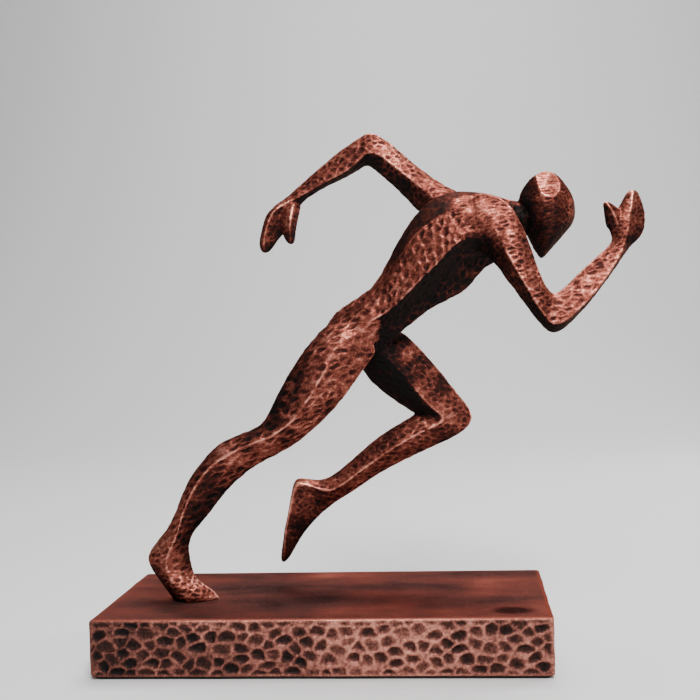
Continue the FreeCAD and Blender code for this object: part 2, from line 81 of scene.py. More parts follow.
# Rings of the cage, in millimetres: the two outline points of the ring in the XZ plane (x, z, x, z),
# its middle y, its half depth, and where its near and far ridges sit between the two points (-1 to 1),
# left out where that is the middle.
TORSO = [
    (-4, 160, 25, 147, 0, 8.5),
    (3, 169, 30, 152, 0, 12),
    (10, 175, 33, 156, 0, 14.5),
    (25, 183, 38.5, 159, 0, 14.5, 0.1, 0, -0.5, 0.72, 0.3),
    (30, 190, 46, 165, 0, 14.5, 0.2, 0, -0.45, 0.72, 0.26),
    (35, 198, 55, 172, 0, 15.5, 0.2, 0.05, -0.55, 0.68, 0.24),
    (39, 206, 64, 176, 0, 16.5, 0.16, 0, -0.72, 0.64, 0.22),
    (45, 215, 73, 180, 0, 17.5, 0.14, -0.1, -0.68, 0.66, 0.2),
    (50, 222, 79, 186, 0, 18.5, 0.14, -0.2, -0.6, 0.68, 0.2),
    (57, 227.5, 82, 190, 0, 19, 0.2, -0.3, -0.5, 0.72, 0.2),
    (65, 231.8, 85, 192.5, 0, 19, 0.24, -0.35, -0.46, 0.76, 0.22),
    (78, 231.2, 88, 194, 0, 18, 0.25, -0.3, -0.5, 0.8, 0.3),
    (88, 229.5, 96, 199, 0, 14),
    (97, 225.5, 101, 207, 0, 6.5),
    (106, 225, 110, 209, 0, 5.5),
]
HEAD = [
    (113, 239.2, 118.2, 239.2, 0, 4.5),
    (108.7, 237.8, 122.5, 236.6, 0, 8.6, -0.1, -0.1),
    (104.8, 235.3, 126.6, 232, 0, 11.4, -0.1, -0.1),
    (101, 231.3, 129.6, 227.6, 0, 13),
    (98.5, 226.5, 131.2, 222.6, 0, 13.4, 0.1, 0.1),
    (98.2, 220, 131.2, 217, 0, 13.2, 0.2, 0.2),
    (100, 213, 129.2, 212.6, 0, 12.6, 0.25, 0.25),
    (103.5, 206, 124.8, 208.2, 0, 10.6, 0.25, 0.25),
    (107, 200, 120.4, 204, 0, 7.6, 0.2, 0.2),
    (110.2, 196.4, 115.8, 199.4, 0, 4.4),
    (111.6, 195.6, 113.2, 196.8, 0, 2),
]
RIGHT_ARM = [
    (76, 230, 74, 206, -6, 10.5, 0.1),
    (87, 229, 80, 199, -9.5, 11, 0.2),
    (96.5, 223, 87, 193.5, -14.5, 10, 0.34),
    (100.6, 214, 89.5, 191, -18.5, 9.4, 0.38),
    (104.4, 204, 93.2, 184.6, -21.5, 8.6, 0.36),
    (109.2, 187, 101.2, 173.2, -24, 7.2, 0.34),
    (111.8, 182, 106, 166, -25, 6.8, 0.4),
    (114, 178.4, 112.2, 158.6, -25, 6.5, 0.5),
    (116.4, 178, 116.8, 158.6, -25, 6.4, 0.56),
    (120.4, 181.2, 125.2, 165.4, -24, 6.4, 0.72),
    (127.8, 188.2, 134.8, 175.9, -21.5, 6.2, 0.8),
    (137.2, 196.2, 144.6, 187.9, -18.5, 5.2, 0.75),
    (142, 200, 150.6, 196.4, -17, 4.2, 0.5),
    (144.6, 203.2, 153.2, 199.8, -16, 3.8, 0.2),
    (142.8, 207.8, 157.4, 202.8, -15, 4.6, 0.1),
    (141.8, 211.8, 160.4, 207, -14.5, 4.9, 0.1),
    (143, 215.6, 161, 211.8, -14, 4.6),
    (147.2, 217.4, 160.8, 216, -13.5, 4.2, -0.1),
    (149, 221.2, 159.8, 221, -13.2, 3.6, -0.1),
    (151.6, 225.2, 158.2, 225.2, -13, 2.8),
    (153.6, 227, 156.8, 227, -13, 1.6),
]
RIGHT_THUMB = [
    (142.4, 206, 153, 209, -14.6, 4.4),
    (141, 212, 151, 214.6, -14.8, 4.3),
    (140.6, 216.6, 148.4, 217.8, -15.4, 3.4, -0.1),
    (140.2, 219.6, 144.6, 220.4, -16, 2.2),
    (140.4, 221.4, 142.6, 221.6, -16.2, 1.1),
]
LEFT_ARM = [
    (78, 229, 66, 209, 7, 11.5),
    (69, 234, 53, 218.5, 13, 11.8),
    (59, 240.6, 46, 228.2, 18, 9.6),
    (51, 247.2, 39.2, 235.8, 21.5, 8.7),
    (43, 254.8, 31.4, 243.2, 23, 8, 0.05),
    (35, 262.4, 26, 248, 24, 7.3, 0.1),
    (28, 267, 24, 249.2, 24.5, 6.8, 0.3),
    (23.6, 267, 22.6, 249, 24.5, 6.8, 0.4),
    (17.2, 263.2, 20.6, 248, 24.5, 6.8, 0.6),
    (6, 256.2, 14, 244.2, 24.5, 6.7, 0.75),
    (-7.2, 245.2, -0.4, 238.2, 24, 5.5, 0.7),
    (-14.2, 239.2, -7.8, 233.6, 23, 4.5, 0.5),
    (-20.6, 233.6, -12.2, 230, 22.5, 4.2),
    (-25.4, 230.8, -13.2, 227.4, 22, 4.7, -0.4, 0, -0.75, 0.6, 0.4),
    (-29.8, 227, -14.2, 224.4, 21.5, 5.2, -0.55, 0, -0.8, 0.6, 0.32),
    (-32.2, 222, -15.6, 219.4, 21, 5.2, -0.6, 0, -0.85, 0.6, 0.3),
    (-33.8, 216, -21.8, 214.8, 20.5, 4.8, -0.45, 0, -0.8, 0.6, 0.35),
    (-34.8, 210.8, -25.4, 210, 20.2, 4.4, -0.3),
    (-34.2, 206.6, -28, 206.4, 20, 3.3),
    (-32.4, 204.8, -30.2, 204.8, 20, 1.7),
]
LEFT_THUMB = [
    (-17.5, 234, -11, 230.6, 22, 3),
    (-21.6, 228.6, -12, 226.6, 19.4, 3.6, 0.2),
    (-22.8, 221, -12.8, 221.4, 17.4, 3.9, 0.25),
    (-22, 215.6, -13.8, 216.4, 16.8, 3.6, 0.25),
    (-20.4, 211.4, -14.6, 212.2, 16.6, 2.7, 0.2),
    (-18.4, 208.4, -15, 208.8, 16.8, 1.6),
]
RIGHT_LEG = [
    (9, 173, 32, 156, -6.3, 8.6),
    (-3, 162.4, 25.5, 147.4, -8, 9.6),
    (-8.8, 153, 16.6, 135.6, -9.4, 10.4),
    (-15.2, 144, 10.6, 127.6, -10, 10.8, 0.08),
    (-21.2, 134, 5.2, 122, -10.5, 10.3, 0.1),
    (-26.4, 123.4, -2.2, 115.4, -10.8, 9.6, 0.1),
    (-30, 117.4, -11.8, 107.2, -11, 8.8, -0.1),
    (-37, 114.2, -23.8, 101, -11, 8.2, -0.25),
    (-48, 110.6, -35.8, 95.4, -11, 8.4, -0.25),
    (-56.2, 105.4, -47.2, 85.6, -11, 8.6, -0.4),
    (-63.4, 96.6, -53.6, 78.2, -10.7, 8.3, -0.45),
    (-69, 90, -60, 70, -10.3, 7.8, -0.35),
    (-74, 79, -67, 63.4, -9.8, 6.8, -0.2),
    (-79, 67, -69.8, 56.4, -9.3, 6),
    (-88.4, 57, -69.4, 52.2, -9, 6.2),
    (-92.4, 50.4, -68.6, 46, -9, 6.8),
    (-91, 46.2, -67, 39.6, -9, 7.2),
    (-85.4, 37.6, -62, 36.2, -9, 7.6, -0.15, 0, -0.6, 0.9, 0.9),
    (-81, 31.6, -56.6, 32, -9, 7.8, -0.2, 0, -0.6, 0.9, 0.85),
    (-79.6, 28.8, -54.2, 28.9, -9, 7.2, -0.2, 0, -0.6, 0.9, 0.8),
    (-77.8, 28, -55.6, 27.9, -9, 5.6),
]
LEFT_LEG = [
    (9, 169, 32, 155, 4, 9),
    (13, 153, 37.8, 163, 8, 10),
    (18, 141, 42.2, 161, 11, 10, 0.05),
    (26.8, 131.8, 51.2, 151.2, 12.5, 9.7, 0.05),
    (36.8, 124.2, 60.2, 140.2, 13.5, 9.3, -0.1),
    (43.8, 119.4, 66.8, 131, 14, 9, -0.2),
    (44.8, 118.8, 73.6, 122.4, 14.6, 8.8, -0.15),
    (45, 118.6, 76.8, 116, 15, 8.5),
    (45, 118.4, 72.2, 108.8, 15, 8.5),
    (44, 117.4, 63.6, 104.6, 15, 8.5, -0.1),
    (34, 112.2, 54.2, 100.6, 14.6, 8.5, -0.1),
    (23, 105.2, 35.6, 92.6, 14.4, 8),
    (11, 94.6, 21.6, 84.7, 14.2, 7),
    (3.6, 88.8, 11.6, 77.7, 14, 6.2),
    (-3.2, 84.8, 3.4, 73.2, 14, 5.8),
    (-10, 85.4, 0.2, 70.6, 14, 6.2, -0.62, -0.2, -0.86, 0.7, 0.72),
    (-18.4, 87, -3.6, 67.6, 14, 6.8, -0.82, -0.3, -0.94, 0.8, 0.66),
    (-20, 80, -7.4, 64.2, 14, 7, -0.82, -0.4, -0.94, 0.8, 0.62),
    (-21.8, 71, -11.2, 60.4, 14, 7.2, -0.8, -0.5, -0.94, 0.8, 0.6),
    (-24.2, 62, -15.2, 55.6, 14, 7, -0.75, -0.5, -0.9, 0.7, 0.6),
    (-25.8, 53.2, -18.8, 49.8, 14, 6.6, -0.5, -0.4),
    (-27.4, 45, -22.2, 44.4, 14, 4.6),
    (-27, 41.4, -24.6, 41.6, 14, 2.4),
]
# Depth of a limb's upper and lower near facets, as shares of its half depth at the ridge.
FACETS = {
    "right_leg": (0.68, 0.64), "left_leg": (0.64, 0.62), "right_arm": (0.72, 0.5), "left_arm": (0.78, 0.56),
}
PLAIN_FACETS = (0.66, 0.6)
# Every limb: its rings, the casting it belongs to, and its dents: how far apart and how deep they are
# in millimetres, how much longer than wide, and the direction in which they are long.
LIMBS = {
    "torso": (TORSO, "torso", 3.1, 0.7, 1.4, (0.2, 0.0, 1.0)),
    "head": (HEAD, "head", 1.3, 0.32, 5.0, (1.0, 0.0, 0.1)),
    "right_arm": (RIGHT_ARM, "right_arm", 1.9, 0.40, 2.4, (1.0, 0.0, 0.1)),
    "right_thumb": (RIGHT_THUMB, "right_arm", 1.9, 0.2, 1.0, (0.0, 0.0, 1.0)),
    "left_arm": (LEFT_ARM, "left_arm", 2.7, 0.46, 1.4, (1.0, 0.0, 0.2)),
    "left_thumb": (LEFT_THUMB, "left_arm", 1.9, 0.2, 1.0, (0.0, 0.0, 1.0)),
    "right_leg": (RIGHT_LEG, "right_leg", 2.7, 0.6, 2.3, (1.0, 0.0, 0.35)),
    "left_leg": (LEFT_LEG, "left_leg", 2.4, 0.38, 1.7, (1.0, 0.0, -0.2)),
}
# Where along its limb a hand or a foot starts, and how much finer its dents are there.
EXTREMITIES = {
    "right_arm": (0.62, 0.72), "left_arm": (0.64, 0.72), "right_leg": (0.7, 0.75), "left_leg": (0.66, 0.75),
}
# Where the skin is blended round a joint: middle, radius and how many times.
JOINT_BLENDS = (
    ((86, -17, 208), 16, 180), ((62, 15, 226), 15, 70), ((104, 0, 217), 8, 60),
    ((13, -14, 160), 19, 110), ((22, 12, 154), 18, 120), ((-2, 0, 163), 14, 120),
)
# Flats planed on both sides of the head: outward direction, and distance from the head's middle.
HEAD_MIDDLE = (114.5, 0, 218)
HEAD_FLATS = (
    ((-0.62, -0.70, 0.35), 12.7), ((0.08, -0.82, 0.56), 13.9), ((0.12, -0.99, 0.02), 12.3),
    ((0.25, -0.80, -0.55), 14.6), ((-0.45, -0.80, -0.40), 13.6),
)
# The saw cuts: casting, a point on the cut, the direction towards the casting, and its reach.
SAW_CUTS = (
    ("head", (101.8, 0, 215), (0.93, 0.0, 0.36), 12),
    ("right_arm", (91, -19, 209), (0.35, -0.75, -0.55), 15),
    ("left_arm", (62, 17, 228), (-0.6, 0.45, 0.66), 14),
    ("right_leg", (8, -7, 160), (-0.75, -0.35, -0.55), 19),
    ("left_leg", (26, 9, 152), (0.35, 0.5, -0.8), 18),
)
CREASED = {"torso": {0: 0.7, 1: 0.8, 2: 1.0, 4: 0.7, 6: 1.0, 7: 0.8}, "head": {}}
EDGE_RIDGES = {0: 0.7, 2: 1.0, 4: 0.7, 6: 0.9}


# helpers

def deselect_all():
    if bpy.context.mode != "OBJECT":
        bpy.ops.object.mode_set(mode="OBJECT")
    bpy.ops.object.select_all(action="DESELECT")


def make_active(thing):
    deselect_all()
    thing.select_set(True)
    bpy.context.view_layer.objects.active = thing


def edit(kind):
    """Go into edit mode to select by edge or face, with nothing selected."""
    bpy.ops.object.mode_set(mode="EDIT")
    bpy.ops.mesh.select_mode(type=kind)
    bpy.ops.mesh.select_all(action="DESELECT")


def finish_edit():
    """Turn every face outward and leave edit mode."""
    bpy.ops.mesh.select_all(action="SELECT")
    bpy.ops.mesh.normals_make_consistent(inside=False)
    bpy.ops.object.mode_set(mode="OBJECT")


def apply_modifier(thing, kind, name, **settings):
    make_active(thing)
    modifier = thing.modifiers.new(name, kind)
    for key, value in settings.items():
        setattr(modifier, key, value)
    bpy.ops.object.modifier_apply(modifier=name)


def finish_piece(thing, nodes, material, ridden=BODY):
    """Hand a finished piece to the frame: finish, slot, replaced nodes and body."""
    thing.data.materials.clear()
    thing.data.materials.append(material)
    if nodes:
        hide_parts(*nodes)
    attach(thing, ridden)


def read(items, name, width=3, kind=float):
    """One property of all vertices, edges or faces, a row each."""
    flat = np.empty(len(items) * width, dtype=kind)
    items.foreach_get(name, flat)
    return flat.reshape(-1, width)


def write_coordinates(mesh, points):
    mesh.vertices.foreach_set("co", points.ravel())
    mesh.update()


def write_layer(mesh, name, values):
    layer = mesh.attributes.get(name) or mesh.attributes.new(name, "FLOAT", "POINT")
    layer.data.foreach_set("value", np.ascontiguousarray(values, dtype=np.float32))


def neighbour_mean(values, pairs, count, turns=1):
    """Average each vertex's value with its neighbours', a number of times."""
    degree = np.bincount(pairs.ravel(), minlength=count).astype(float)
    degree[degree == 0] = 1.0
    values = values.copy()
    for _ in range(turns):
        total = np.empty_like(values)
        for axis in range(values.shape[1]):
            column = values[:, axis]
            total[:, axis] = np.bincount(pairs[:, 0], column[pairs[:, 1]], count)
            total[:, axis] += np.bincount(pairs[:, 1], column[pairs[:, 0]], count)
        values = 0.5 * values + 0.5 * total / degree[:, None]
    return values


def spread(values, pairs, count, turns):
    """The same for one number a vertex."""
    return neighbour_mean(values[:, None], pairs, count, turns)[:, 0]


def smooth_step(low, high, values):
    t = np.clip((values - low) / (high - low), 0.0, 1.0)
    return t * t * (3.0 - 2.0 * t)


def wave_noise(points, wavelength, seed, layers=5):
    """A smooth seeded field of crossing waves, about -1 to 1."""
    draw = np.random.RandomState(seed)
    total = np.zeros(len(points))
    for _ in range(layers):
        direction = draw.normal(size=3)
        direction /= np.linalg.norm(direction)
        length = wavelength * draw.uniform(0.7, 1.5)
        total += np.sin(points @ direction * (2 * math.pi / length) + draw.uniform(0, 2 * math.pi))
    return total / layers * 1.4


def crossing_waves(points, wavelength, seed):
    """Three smooth seeded fields at once, to push points about by."""
    return np.stack([wave_noise(points, wavelength, seed + axis) for axis in range(3)], axis=1)


def scatter_sites(points, spacing, seed):
    """Choose vertices so that no two lie closer than their own spacing."""
    order = np.random.RandomState(seed).permutation(len(points))
    cell = float(spacing.max())
    grid = {}
    chosen = []
    keys = np.floor(points / cell).astype(int)
    steps = [(a, b, c) for a in (-1, 0, 1) for b in (-1, 0, 1) for c in (-1, 0, 1)]
    for index in order[:60000]:
        x, y, z = points[index]
        reach = spacing[index] ** 2
        i, j, k = keys[index]
        free = True
        for a, b, c in steps:
            for px, py, pz in grid.get((i + a, j + b, k + c), ()):
                if (px - x) ** 2 + (py - y) ** 2 + (pz - z) ** 2 < reach:
                    free = False
                    break
            if not free:
                break
        if free:
            grid.setdefault((i, j, k), []).append((x, y, z))
            chosen.append(index)
    return np.array(chosen)


def hammered(points, spacing, seed, land, strength_seed, strengths):
    """How deep each vertex lies in the round-bottomed dents hammered into a surface.

    Land is the share of their spacing left between dents. Each dent is as deep as its own random
    strength, between the two strengths given.
    """
    chosen = scatter_sites(points, spacing, seed)
    tree = KDTree(len(chosen))
    for number, index in enumerate(chosen):
        tree.insert(points[index], number)
    tree.balance()
    nearest = np.empty(len(points))
    second = np.empty(len(points))
    owner = np.empty(len(points), dtype=int)
    for index, point in enumerate(points):
        first, other = tree.find_n(point, 2)
        nearest[index] = first[2]
        second[index] = other[2]
        owner[index] = first[1]
    bowl = 1.0 - (nearest / (0.7 * spacing)) ** 2
    rim = smooth_step(-0.05, land, (second - nearest) / spacing)
    strength = np.random.RandomState(strength_seed).uniform(*strengths, len(chosen))
    return np.clip(bowl, 0.0, 1.0) * rim * strength[owner]


# materials

def new_material(name):
    material = bpy.data.materials.new(name)
    material.use_nodes = True
    material.node_tree.nodes.clear()
    return material, Nodes(material.node_tree)


class Nodes:
    """A short way to add nodes and wire them."""

    def __init__(self, tree):
        self.tree = tree

    def add(self, kind, inputs=None, **settings):
        node = self.tree.nodes.new("ShaderNode" + kind)
        for key, value in settings.items():
            setattr(node, key, value)
        for key, value in (inputs or {}).items():
            self.feed(node, key, value)
        return node

    def feed(self, node, key, value):
        """Wire an input to a socket, or set its value."""
        if isinstance(value, bpy.types.NodeSocket):
            self.tree.links.new(value, node.inputs[key])
        else:
            node.inputs[key].default_value = value

    def object_point(self):
        return self.add("TexCoord").outputs["Object"]

    def layer(self, name):
        return self.add("Attribute", attribute_name=name).outputs["Fac"]

    def maths(self, operation, first, second=0.0, third=0.0, clamp=False):
        node = self.add("Math", operation=operation, use_clamp=clamp)
        for index, value in enumerate((first, second, third)):
            self.feed(node, index, value)
        return node.outputs[0]

    def noise(self, vector, scale, detail=4.0, roughness=0.55):
        node = self.add("TexNoise", {
            "Vector": vector, "Scale": scale, "Detail": detail, "Roughness": roughness})
        return node.outputs["Fac"]

    def centred_noise(self, vector, scale, detail, roughness, strength):
        """Noise that swings about zero."""
        wave = self.noise(vector, scale, detail, roughness)
        return self.maths("MULTIPLY_ADD", wave, strength, -strength / 2)

    def stretched(self, vector, scale, turn=(0.0, 0.0, 0.0)):
        return self.add("Mapping", {"Vector": vector, "Scale": scale, "Rotation": turn}).outputs["Vector"]

    def ramp(self, factor, stops):
        """A blend through (position, value or colour) stops."""
        node = self.add("ValToRGB", {"Fac": factor})
        ramp = node.color_ramp
        while len(ramp.elements) < len(stops):
            ramp.elements.new(0.5)
        for element, (place, shade) in zip(ramp.elements, stops):
            element.position = place
            element.color = shade if len(shade) == 4 else (*shade, 1.0)
        return node.outputs["Color"]

    def grade(self, factor, stops):
        return self.ramp(factor, [(place, (shade, shade, shade)) for place, shade in stops])

    def blend(self, factor, first, second):
        """Mix two colours."""
        node = self.add("Mix", data_type="RGBA")
        self.feed(node, 0, factor)
        for key, value in ((6, first), (7, second)):
            self.feed(node, key, value if isinstance(value, bpy.types.NodeSocket) else (*value, 1.0))
        return node.outputs[2]

    def total(self, first, *others):
        """Add up heights, in order, and keep the last sum between 0 and 1."""
        for number, other in enumerate(others):
            first = self.maths("ADD", first, other, clamp=number == len(others) - 1)
        return first

    def surface(self, inputs):
        shader = self.add("BsdfPrincipled", inputs)
        self.add("OutputMaterial", {"Surface": shader.outputs[0]})


def figure_patina(looks):
    """Antique copper: near-black patina in the hollows, red-brown between, salmon where it is worn, and
    painted light that makes faces turned up lighter.
    """
    material, nodes = new_material("antique_copper")
    point = nodes.object_point()
    hollow = nodes.layer("hollow")
    wear = nodes.layer("wear")
    painted_light = nodes.layer("painted_light_layer")
    streak_point = nodes.stretched(point, (0.4, 0.4, 1.0))
    cloud = nodes.centred_noise(point, 60.0, 4.0, 0.6, 0.8)
    streak = nodes.centred_noise(streak_point, 330.0, 5.0, 0.7, 1.0)
    fleck = nodes.centred_noise(point, 1000.0, 3.0, 0.7, 0.7)
    # Painted light: faces turned up and to the sides get a lighter colour, towards copper and salmon.
    height = nodes.maths("MULTIPLY_ADD", painted_light, 0.62, -0.04)
    sunk = nodes.maths("MULTIPLY", hollow, -0.27)
    height = nodes.total(height, sunk, cloud, streak, fleck, nodes.maths("MULTIPLY", wear, 0.4))
    colour = nodes.ramp(height, [
        (0.08, looks.hollow_colour), (0.34, looks.brown_colour),
        (0.60, looks.copper_colour), (0.92, looks.rubbed_colour),
    ])
    metal = nodes.grade(height, [(0.1, 0.8), (0.5, 0.88), (0.9, 0.95)])
    rough = nodes.grade(height, [(0.1, 0.62), (0.5, 0.5), (0.95, 0.36)])
    grain = nodes.noise(nodes.stretched(point, (0.5, 0.5, 1.0)), 900.0, 5.0, 0.7)
    bump = nodes.add("Bump", {"Height": grain, "Strength": 0.5, "Distance": 0.0005})
    nodes.surface({
        "Base Color": colour, "Metallic": metal, "Roughness": rough, "Specular IOR Level": 0.25,
        "Specular Tint": (0.75, 0.5, 0.45, 1.0), "Normal": bump.outputs[0]})
    return material


def plinth_patina(looks):
    """Darker and browner than the figure, with long red streaks and metallic specks on the top."""
    material, nodes = new_material("plinth_copper")
    point = nodes.object_point()
    hollow = nodes.layer("hollow")
    wear = nodes.layer("wear")
    side = nodes.layer("side")
    cloud = nodes.centred_noise(point, 26.0, 3.0, 0.6, 0.7)
    fleck = nodes.centred_noise(point, 700.0, 4.0, 0.7, 0.95)
    across = nodes.add("SeparateXYZ", {"Vector": point}).outputs["X"]
    # Painted light: the hammered sides are lighter in the middle and darker towards both ends, as a lamp in
    # front lights them.
    lit_middle = nodes.grade(nodes.maths("MULTIPLY_ADD", across, 4.5, 0.5), [
        (0.0, 0.0), (0.2, 0.03), (0.42, 0.13), (0.62, 0.19), (0.85, 0.12), (1.0, 0.03)])
    height = nodes.maths("MULTIPLY_ADD", hollow, -0.42, 0.47)
    height = nodes.total(height, lit_middle, cloud, fleck, nodes.maths("MULTIPLY", wear, 0.14))
    hammered = nodes.ramp(height, [
        (0.08, (0.014, 0.012, 0.012)), (0.38, (0.07, 0.028, 0.023)),
        (0.64, (0.27, 0.098, 0.075)), (0.98, looks.rubbed_colour),
    ])
    streak_point = nodes.stretched(point, (14.0, 46.0, 46.0), (0.0, 0.0, 0.1))
    streak = nodes.noise(streak_point, 1.0, 6.0, 0.62)
    blot = nodes.noise(point, 22.0, 3.0, 0.5)
    both = nodes.maths("ADD", nodes.maths("MULTIPLY", streak, 0.5), nodes.maths("MULTIPLY", blot, 0.5))
    both = nodes.maths("ADD", both, nodes.centred_noise(point, 900.0, 3.0, 0.7, 0.16))
    top = nodes.ramp(both, [
        (0.34, (0.024, 0.017, 0.017)), (0.46, (0.09, 0.040, 0.035)),
        (0.57, (0.18, 0.058, 0.045)), (0.72, (0.34, 0.115, 0.085)),
    ])
    top = nodes.blend(nodes.maths("MULTIPLY", wear, 0.8, clamp=True), top, looks.copper_colour)
    long, wide = STAIN_SIZE
    stain_point = nodes.add("Mapping", {
        "Vector": point, "Location": (-STAIN_PLACE[0] / long, -STAIN_PLACE[1] / wide, 0.0),
        "Scale": (1 / long, 1 / wide, 0.0)})
    stain = nodes.add("VectorMath", {0: stain_point.outputs[0]}, operation="LENGTH").outputs["Value"]
    stain = nodes.maths("ADD", stain, nodes.centred_noise(point, 120.0, 3.0, 0.6, 0.9))
    top = nodes.blend(nodes.grade(stain, [(0.55, 0.85), (1.0, 0.0)]), top, (0.007, 0.005, 0.005))
    sparkle = nodes.grade(nodes.noise(point, 1300.0, 1.0, 0.5), [(0.70, 0.0), (0.735, 1.0)])
    top = nodes.blend(nodes.maths("MULTIPLY", sparkle, 0.35), top, (0.6, 0.38, 0.32))
    colour = nodes.blend(side, top, hammered)
    metal = nodes.grade(height, [(0.1, 0.85), (0.9, 0.95)])
    rough = nodes.blend(side, (0.55, 0.55, 0.55), nodes.grade(height, [(0.1, 0.6), (0.9, 0.42)]))
    grain = nodes.noise(point, 700.0, 5.0, 0.75)
    bump = nodes.add("Bump", {"Height": grain, "Strength": 0.6, "Distance": 0.0005})
    nodes.surface({
        "Base Color": colour, "Metallic": metal, "Roughness": rough, "Specular IOR Level": 0.2,
        "Specular Tint": (0.45, 0.2, 0.16, 1.0), "Normal": bump.outputs[0]})
    return material


def steel(name, colour, roughness, scale):
    """Plated or ground steel with fine lay lines."""
    material, nodes = new_material(name)
    point = nodes.object_point()
    lines = nodes.noise(nodes.stretched(point, (40.0, 40.0, scale)), 60.0, 3.0, 0.6)
    tone = nodes.blend(lines, tuple(0.7 * part for part in colour), colour)
    rough = nodes.maths("ADD", nodes.maths("MULTIPLY", lines, 0.2), roughness - 0.1)
    nodes.surface({"Base Color": tone, "Metallic": 1.0, "Roughness": rough})
    return material


def mottled(name, dark, light, roughness, scale, bump_depth):
    """Paint, rough iron or felt: two tones in a fine mottle, with a little relief."""
    material, nodes = new_material(name)
    point = nodes.object_point()
    fleck = nodes.noise(point, scale, 5.0, 0.65)
    tone = nodes.ramp(fleck, [(0.3, dark), (0.7, light)])
    bump = nodes.add("Bump", {"Height": fleck, "Strength": 0.5, "Distance": bump_depth})
    nodes.surface({"Base Color": tone, "Roughness": roughness, "Normal": bump.outputs[0]})
    return material


# the figure

def ring_points(ring, facets):
    """The eight corners of a ring, in order: back, near side (three), front, far side (three)."""
    ax, az, bx, bz, y, deep, near, far = (*ring, 0.0, 0.0)[:8]
    top, top_deep, under_deep = ring[8:] if len(ring) > 8 else ((near - 1) / 2 - 0.1, *facets)
    middle = Vector(((ax + bx) / 2, y, (az + bz) / 2)) * MM
    along = Vector((bx - ax, 0, bz - az)) * (MM / 2)
    side = Vector((0, deep * MM, 0))
    corners = [
        (-1.0, 0.0), (top, -top_deep), (near, -1.0), ((near + 1) / 2 + 0.04, -under_deep), (1.0, 0.0),
        ((far + 1) / 2 + 0.06, 0.6), (far, 1.0), ((far - 1) / 2 - 0.1, 0.64),
    ]
    return [middle + along * u + side * v for u, v in corners]


def build_limb(name, rings, creased, facets):
    """Draw a limb: a circle is placed on the first ring and extruded from ring to ring."""
    deselect_all()
    bpy.ops.mesh.primitive_circle_add(vertices=8, radius=MM, location=(0, 0, 0))
    limb = bpy.context.active_object
    limb.name = name
    bpy.ops.object.mode_set(mode="EDIT")
    bpy.ops.mesh.select_mode(type="VERT")
    bpy.ops.mesh.select_all(action="SELECT")
    mesh = bmesh.from_edit_mesh(limb.data)
    loop = in_order(list(mesh.verts))
    place_ring(loop, rings[0], facets)
    first_numbers = [vertex.index for vertex in loop]
    for ring in rings[1:]:
        old_numbers = [vertex.index for vertex in loop]
        bpy.ops.mesh.extrude_edges_move()
        mesh = bmesh.from_edit_mesh(limb.data)
        mesh.verts.ensure_lookup_table()
        mesh.verts.index_update()
        loop = [partner(mesh.verts[number]) for number in old_numbers]
        place_ring(loop, ring, facets)
    bpy.ops.mesh.edge_face_add()
    mesh = bmesh.from_edit_mesh(limb.data)
    mesh.verts.ensure_lookup_table()
    bpy.ops.mesh.select_all(action="DESELECT")
    for number in first_numbers:
        mesh.verts[number].select_set(True)
    mesh.select_flush(True)
    bpy.ops.mesh.edge_face_add()
    crease_lines(limb, len(rings), creased)
    finish_edit()
    return limb


def in_order(vertices):
    """Walk round a closed loop of vertices."""
    loop = [vertices[0]]
    while len(loop) < len(vertices):
        for edge in loop[-1].link_edges:
            other = edge.other_vert(loop[-1])
            if other not in loop:
                loop.append(other)
                break
    return loop


def partner(vertex):
    """The selected vertex that was extruded from this one."""
    for edge in vertex.link_edges:
        other = edge.other_vert(vertex)
        if other.select and not vertex.select:
            return other
    raise RuntimeError("an extruded ring has lost a corner")


def place_ring(loop, ring, facets):
    for vertex, point in zip(loop, ring_points(ring, facets)):
        vertex.co = point


def crease_lines(limb, ring_count, creased):
    """Crease the lines that run along the limb, so that its ridges stay crisp when it is smoothed."""
    mesh = bmesh.from_edit_mesh(limb.data)
    mesh.verts.ensure_lookup_table()
    bpy.ops.mesh.select_mode(type="EDGE")
    loop = in_order(list(mesh.verts)[:8])
    for corner, sharpness in creased.items():
        bpy.ops.mesh.select_all(action="DESELECT")
        walker = loop[corner]
        for _ in range(ring_count - 1):
            for edge in walker.link_edges:
                other = edge.other_vert(walker)
                if other.index // 8 == walker.index // 8 + 1:
                    edge.select_set(True)
                    walker = other
                    break
        bpy.ops.transform.edge_crease(value=sharpness)
    bpy.ops.mesh.select_mode(type="VERT")


def limb_centres():
    """Ring centres of every limb, for telling which limb a vertex lies on and how far along it."""
    rows = []
    for number, name in enumerate(LIMBS):
        rings = LIMBS[name][0]
        for step in range(len(rings) - 1):
            for share in (0.0, 0.5):
                ring = [a + (b - a) * share for a, b in zip(rings[step], rings[step + 1])]
                centre = (ring[0] + ring[2]) / 2 * MM, ring[4] * MM, (ring[1] + ring[3]) / 2 * MM
                girth = math.hypot(ring[2] - ring[0], ring[3] - ring[1]) / 2 * MM
                rows.append((*centre, girth, number, (step + share) / (len(rings) - 1)))
    return np.array(rows)


def sort_by_limb(points):
    """The limb that each vertex lies on, and how far along it the vertex is (0 to 1)."""
    rows = limb_centres()
    nearest = np.empty(len(points), dtype=int)
    for start in range(0, len(points), 20000):
        block = points[start:start + 20000]
        gap = np.linalg.norm(block[:, None, :] - rows[None, :, :3], axis=2) / (rows[None, :, 3] + 4 * MM)
        nearest[start:start + 20000] = gap.argmin(axis=1)
    return rows[nearest, 4].astype(int), rows[nearest, 5]


def is_limb(name, limb):
    """Which of the vertices lie on the named limb."""
    return limb == list(LIMBS).index(name)


